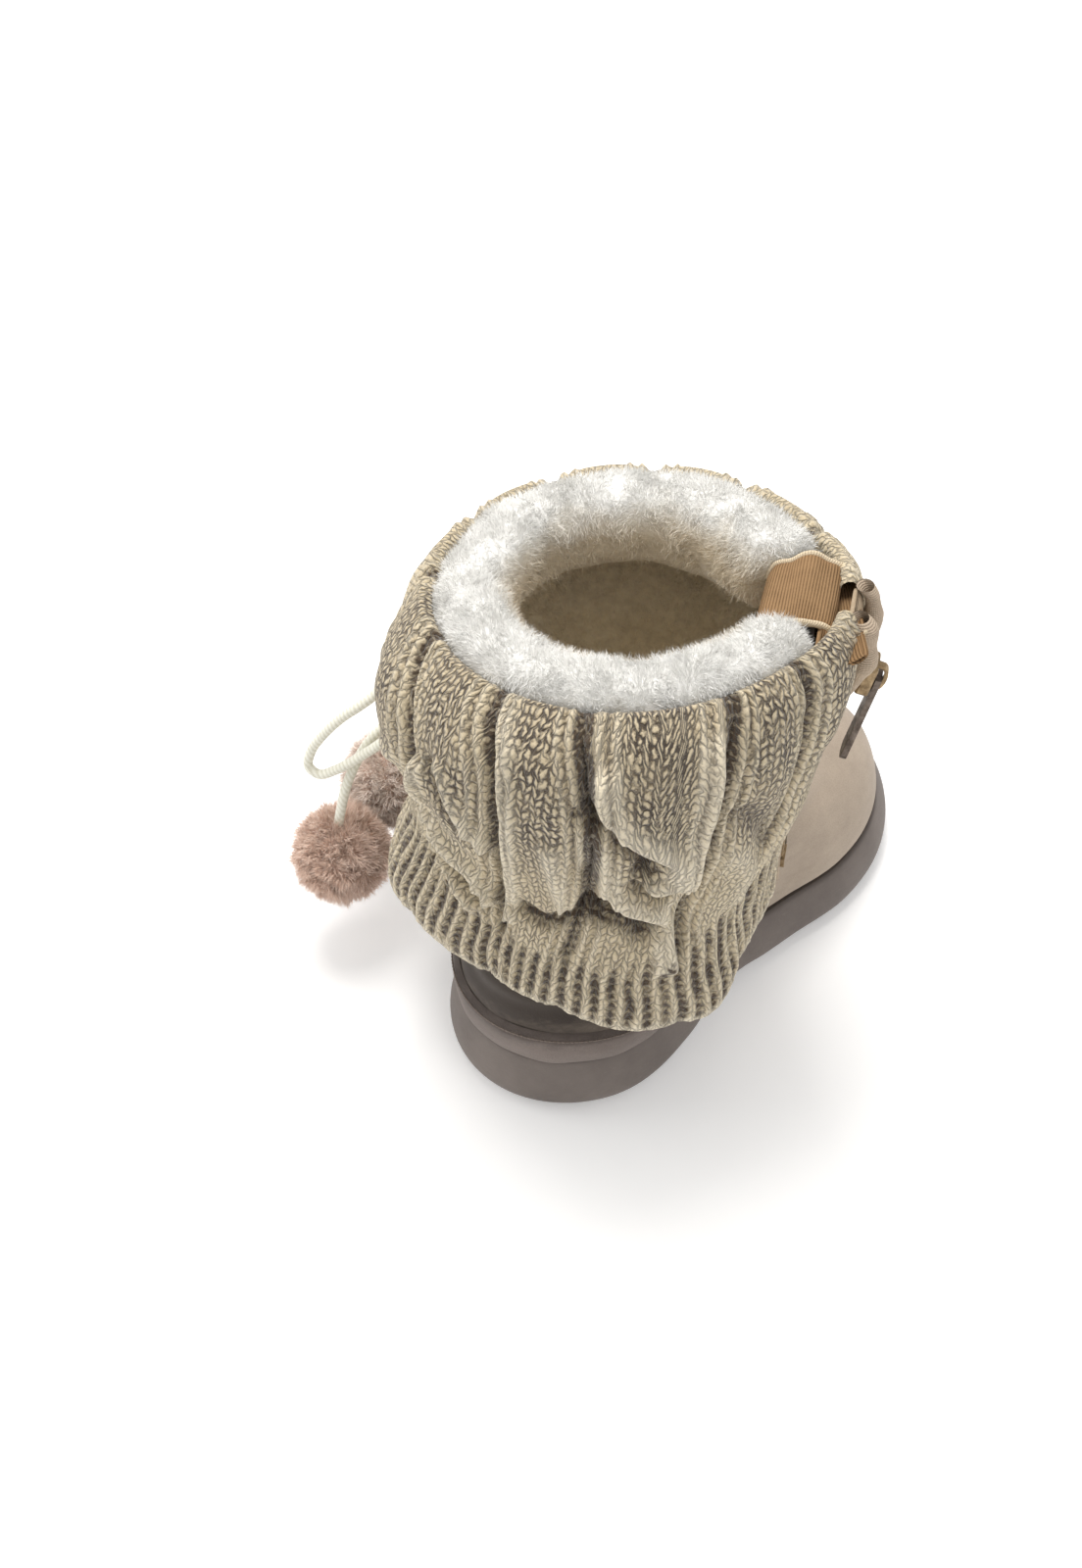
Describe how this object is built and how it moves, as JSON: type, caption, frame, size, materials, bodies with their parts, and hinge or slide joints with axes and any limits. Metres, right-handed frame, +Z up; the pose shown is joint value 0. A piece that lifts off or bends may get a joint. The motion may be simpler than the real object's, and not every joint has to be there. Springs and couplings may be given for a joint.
{
  "type": "child's winter boot",
  "caption": "Child's left winter boot with a suede foot, slouching cable-knit shaft, white plush collar, side zip with a hinged pull tab, and a cord bow with pink pom-poms.",
  "frame": {"origin": "centre of the boot's footprint on the floor, the bow left out", "axes": "+Y along the foot to the toe, +X to the inner side with the zip, +Z up"},
  "size_m": [0.137, 0.1564, 0.15],
  "materials": {
    "suede": "napped",
    "sole_rubber": "matte",
    "insole_textile": "matte",
    "oatmeal_wool": "cable knit",
    "white_plush": "deep pile",
    "zip_tape": "woven",
    "brown_grosgrain": "ribbed ribbon",
    "old_brass": "aged",
    "dark_pull": "darkened",
    "cream_cord": "twisted",
    "pink_fur": "long pile"
  },
  "bodies": {
    "boot": {"outsole": "sole_rubber", "insole": "insole_textile", "upper": "suede", "heel_counter": "suede", "knit_shaft": "oatmeal_wool", "fleece_collar": "white_plush", "zip_tape": "zip_tape", "zip_chain": "old_brass", "zip_stop": "old_brass", "zip_facing": "brown_grosgrain", "zip_slider": "old_brass", "bow_knot": "cream_cord", "bow_loop_back": "cream_cord", "bow_loop_front": "cream_cord", "bow_end_back": "cream_cord", "bow_end_front": "cream_cord", "pom_pom_back": "pink_fur", "pom_pom_front": "pink_fur"},
    "zip_pull": {"zip_pull": "dark_pull"}
  },
  "joints": [
    {"name": "pull_hinge", "type": "hinge", "parent": "boot", "child": "zip_pull", "pos_m": [0.05143, 0.00808, 0.12249], "axis": [0.5, -0.866, 0], "range_deg": [0, 165]}
  ]
}
